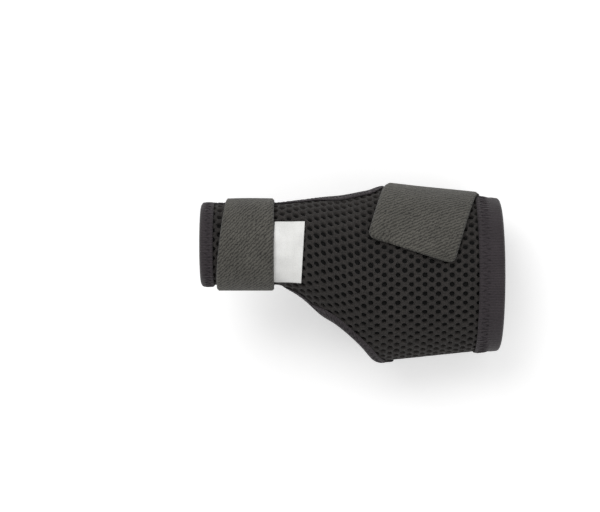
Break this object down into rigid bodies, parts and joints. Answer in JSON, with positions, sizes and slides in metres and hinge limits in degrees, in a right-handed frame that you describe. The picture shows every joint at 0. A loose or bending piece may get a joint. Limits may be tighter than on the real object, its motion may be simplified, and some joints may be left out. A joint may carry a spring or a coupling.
{
  "type": "wrist splint",
  "caption": "Soft wrist splint with a thumb sleeve: spacer-mesh cuff with bound edges, bendable stay and hook-fastened wrist and thumb straps that peel open.",
  "frame": {"origin": "centre of the wrist opening, in the plane of its rim", "axes": "+X out of the wrist opening along the forearm, +Y to the thumb side of the wrist, +Z to the palm side; the splint lies on the flat back of its cuff"},
  "size_m": [0.1346, 0.0823, 0.0739],
  "materials": {
    "spacer_mesh": "knitted spacer mesh",
    "lining": "brushed knit",
    "binding_tape": "ribbed folded tape",
    "strap_fabric": "loop-faced strap",
    "hook_tape": "hook tape",
    "label_satin": "satin, blank",
    "stay_metal": "satin"
  },
  "bodies": {
    "splint_body": {"palm_mesh": "spacer_mesh", "palm_lining": "lining", "thumb_end_binding": "binding_tape", "sleeve_edge_binding": "binding_tape", "palm_edge_binding": "binding_tape", "web_edge_binding": "binding_tape", "palm_rim_binding": "binding_tape", "back_mesh": "spacer_mesh", "back_lining": "lining", "back_rim_binding": "binding_tape", "back_edge_binding": "binding_tape", "label": "label_satin", "thumb_stay": "stay_metal", "wrist_strap_root": "strap_fabric", "thumb_strap_front": "strap_fabric"},
    "wrist_strap": {"wrist_strap_band": "strap_fabric"},
    "wrist_strap_end": {"wrist_strap_tip": "strap_fabric", "wrist_strap_hook": "hook_tape"},
    "thumb_strap": {"thumb_strap_tail": "strap_fabric"},
    "thumb_strap_end": {"thumb_strap_tip": "strap_fabric", "thumb_strap_hook": "hook_tape"}
  },
  "joints": [
    {"name": "wrist_strap_swing", "type": "hinge", "parent": "splint_body", "child": "wrist_strap", "pos_m": [-0.028, 0.01725, -0.0284], "axis": [-1, 0, 0], "range_deg": [0, 35]},
    {"name": "wrist_strap_peel", "type": "hinge", "parent": "wrist_strap", "child": "wrist_strap_end", "pos_m": [-0.033, 0.02765, 0.0218], "axis": [-0.9977, 0.0491, 0.0477], "range_deg": [0, 90]},
    {"name": "thumb_strap_swing", "type": "hinge", "parent": "splint_body", "child": "thumb_strap", "pos_m": [-0.114, 0.0334, 0.03265], "axis": [1, 0, 0], "range_deg": [0, 100]},
    {"name": "thumb_strap_peel", "type": "hinge", "parent": "thumb_strap", "child": "thumb_strap_end", "pos_m": [-0.114, 0.02373, 0.01249], "axis": [1, 0, 0], "range_deg": [0, 90]}
  ]
}
